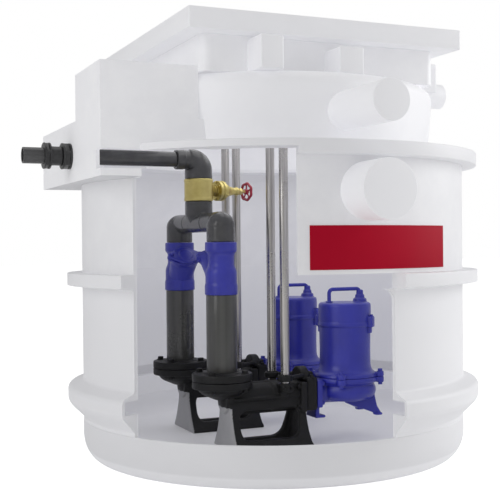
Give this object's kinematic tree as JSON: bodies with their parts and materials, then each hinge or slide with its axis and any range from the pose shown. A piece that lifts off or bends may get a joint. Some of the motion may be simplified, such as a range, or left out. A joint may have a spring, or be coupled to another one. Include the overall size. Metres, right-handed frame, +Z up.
{
  "type": "pumping station",
  "caption": "Packaged wet-well pumping station: round moulded chamber cut open at the front, with submersible pumps on guide rails, check valves, a gate valve and an outlet pipe.",
  "frame": {"origin": "centre of the base's underside, on the chamber's axis", "axes": "+Z up; the cut-open front faces -Y; the discharge pipe leaves along -X"},
  "size_m": [1.4357, 1.3919, 1.289],
  "materials": {
    "moulded_plastic": "satin white moulded plastic",
    "blue_paint": "royal blue paint on cast iron",
    "black_casting": "black coated casting",
    "grey_pipe": "dark grey pressure pipe",
    "charcoal_fitting": "charcoal solvent fittings",
    "stainless": "stainless tube",
    "brass": "cast brass",
    "wheel_red": "red paint",
    "label_red": "plain crimson label"
  },
  "bodies": {
    "station": {"access_cover": "moulded_plastic", "chamber_base": "moulded_plastic", "check_valve_1": "blue_paint", "check_valve_2": "blue_paint", "check_valve_cover_1": "blue_paint", "check_valve_cover_2": "blue_paint", "discharge_elbow": "charcoal_fitting", "discharge_pipe": "charcoal_fitting", "duct_stub_front": "moulded_plastic", "duct_stub_side": "moulded_plastic", "gate_valve_body": "brass", "gate_valve_bonnet": "brass", "guide_rail_1": "stainless", "guide_rail_2": "stainless", "guide_rail_3": "stainless", "guide_rail_4": "stainless", "inlet_stub": "moulded_plastic", "inner_nut": "charcoal_fitting", "label_plate": "label_red", "lid_frame": "moulded_plastic", "lower_wall_left": "moulded_plastic", "lower_wall_rear_left": "moulded_plastic", "lower_wall_rear_right": "moulded_plastic", "lower_wall_right": "moulded_plastic", "manifold_elbow_1": "charcoal_fitting", "manifold_elbow_2": "charcoal_fitting", "manifold_tee": "charcoal_fitting", "neck_front": "moulded_plastic", "neck_rear": "moulded_plastic", "outer_nut": "charcoal_fitting", "outlet_box": "moulded_plastic", "pedestal_1": "black_casting", "pedestal_2": "black_casting", "rail_beam": "stainless", "rim_front": "moulded_plastic", "rim_rear": "moulded_plastic", "rim_right": "moulded_plastic", "riser_1": "grey_pipe", "riser_2": "grey_pipe", "riser_flange_1": "black_casting", "riser_flange_2": "black_casting", "turret": "moulded_plastic", "union_collar": "charcoal_fitting", "upper_wall_front": "moulded_plastic", "upper_wall_left": "moulded_plastic", "upper_wall_rear": "moulded_plastic", "upper_wall_right": "moulded_plastic"},
    "handwheel": {"handwheel": "wheel_red"},
    "pump_1": {"pump_claw_1": "black_casting", "pump_handle_1": "blue_paint", "pump_motor_1": "blue_paint", "pump_volute_1": "blue_paint"},
    "pump_2": {"pump_claw_2": "black_casting", "pump_handle_2": "blue_paint", "pump_motor_2": "blue_paint", "pump_volute_2": "blue_paint"}
  },
  "joints": [
    {"name": "handwheel_turn", "type": "hinge", "parent": "station", "child": "handwheel", "pos_m": [-0.0679, 0.0487, 0.824], "axis": [0.9659, 0.2588, 0], "range_deg": [-2340, 0]},
    {"name": "pump_1_lift", "type": "slide", "parent": "station", "child": "pump_1", "axis": [0, 0, 1], "range_m": [0, 0.7]},
    {"name": "pump_2_lift", "type": "slide", "parent": "station", "child": "pump_2", "axis": [0, 0, 1], "range_m": [0, 0.7]}
  ]
}
